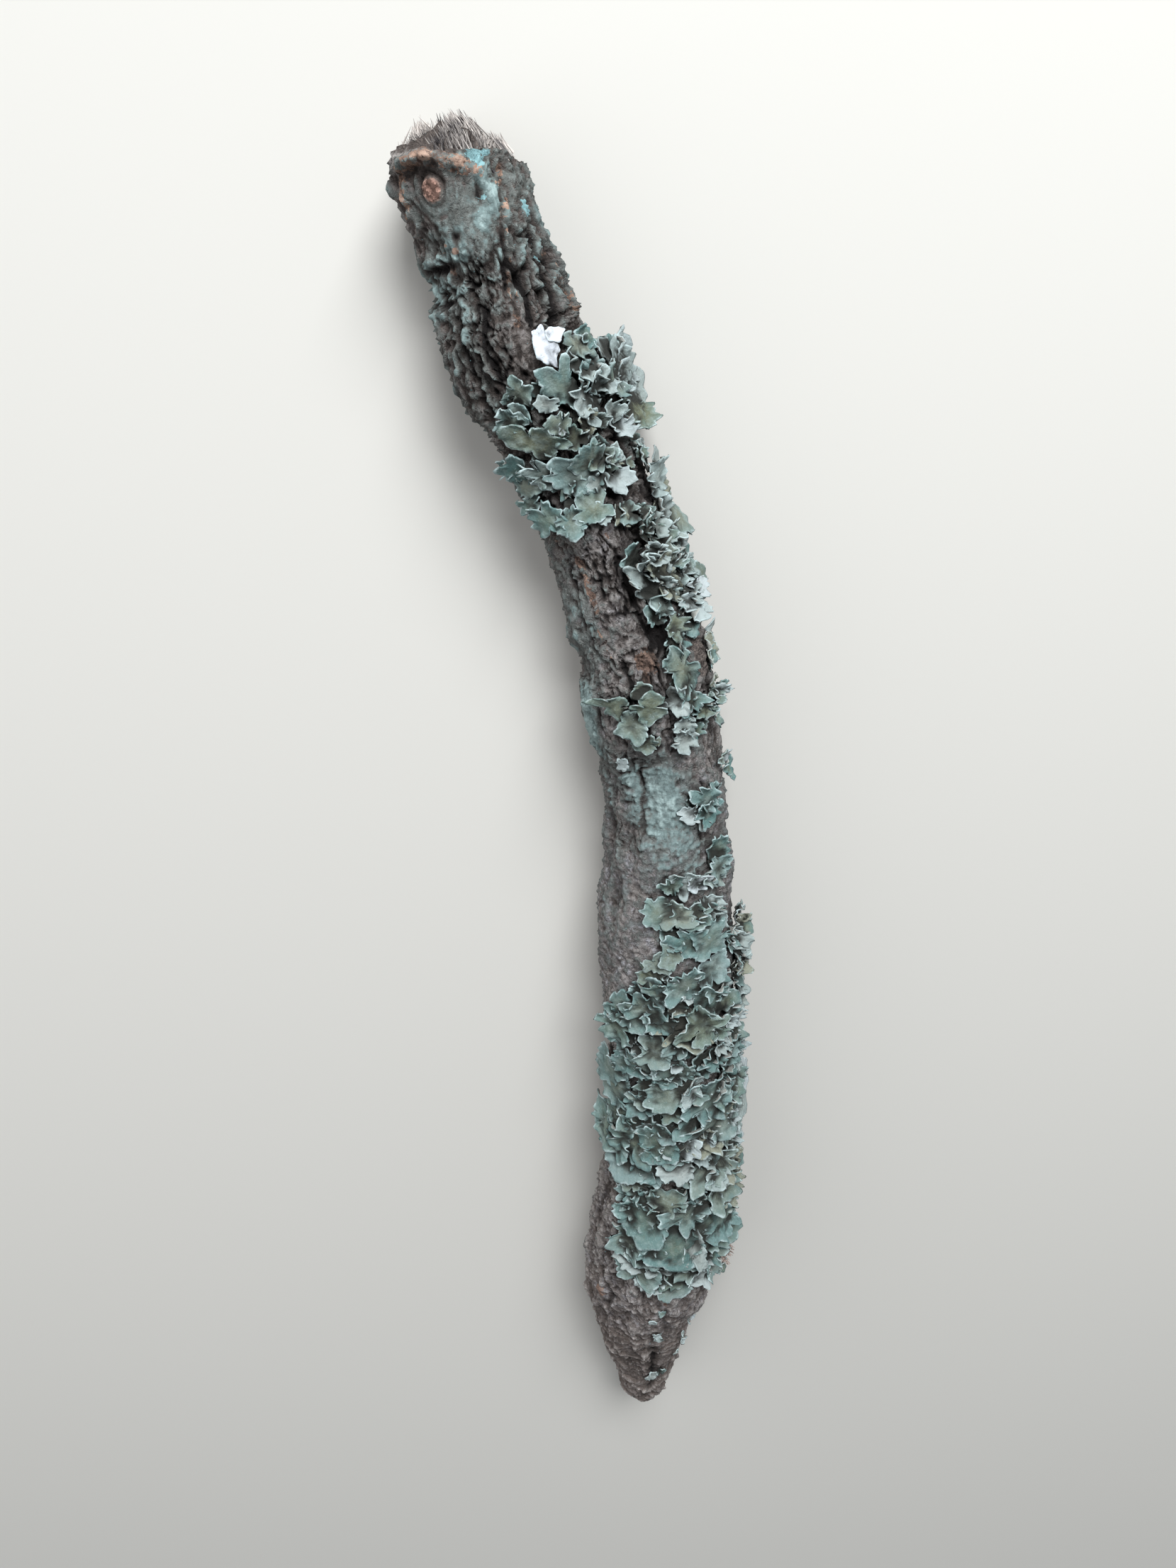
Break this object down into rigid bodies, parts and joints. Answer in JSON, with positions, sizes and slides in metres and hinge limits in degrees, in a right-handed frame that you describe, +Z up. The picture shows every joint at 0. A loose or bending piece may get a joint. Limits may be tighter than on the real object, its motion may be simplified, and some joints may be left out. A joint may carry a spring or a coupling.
{
  "type": "lichen-covered branch",
  "caption": "Broken, gently curved branch with furrowed bark, frayed at one end and tapering to a blunt tip at the other, with leafy ruffled lichens along its upper side.",
  "frame": {"origin": "centre of the bounding box's base, on the floor under the branch", "axes": "+Y along the branch towards its frayed broken end, +X to the right when looking down with +Y up the page, +Z up out of the side that carries the lichens"},
  "size_m": [0.0975, 0.4217, 0.0474],
  "materials": {
    "bark": "rough dry bark, grey-brown",
    "lichen": "matt, grey-turquoise to olive"
  },
  "bodies": {
    "root": {"branch": "bark", "lichen_upper": "lichen", "lichen_shoulder": "lichen", "lichen_saddle": "lichen", "lichen_valley_leaf": "lichen", "lichen_right_scales": "lichen", "lichen_right_shingles": "lichen", "lichen_collar": "lichen", "lichen_skirt": "lichen", "lichen_tip_scales": "lichen"}
  },
  "joints": []
}
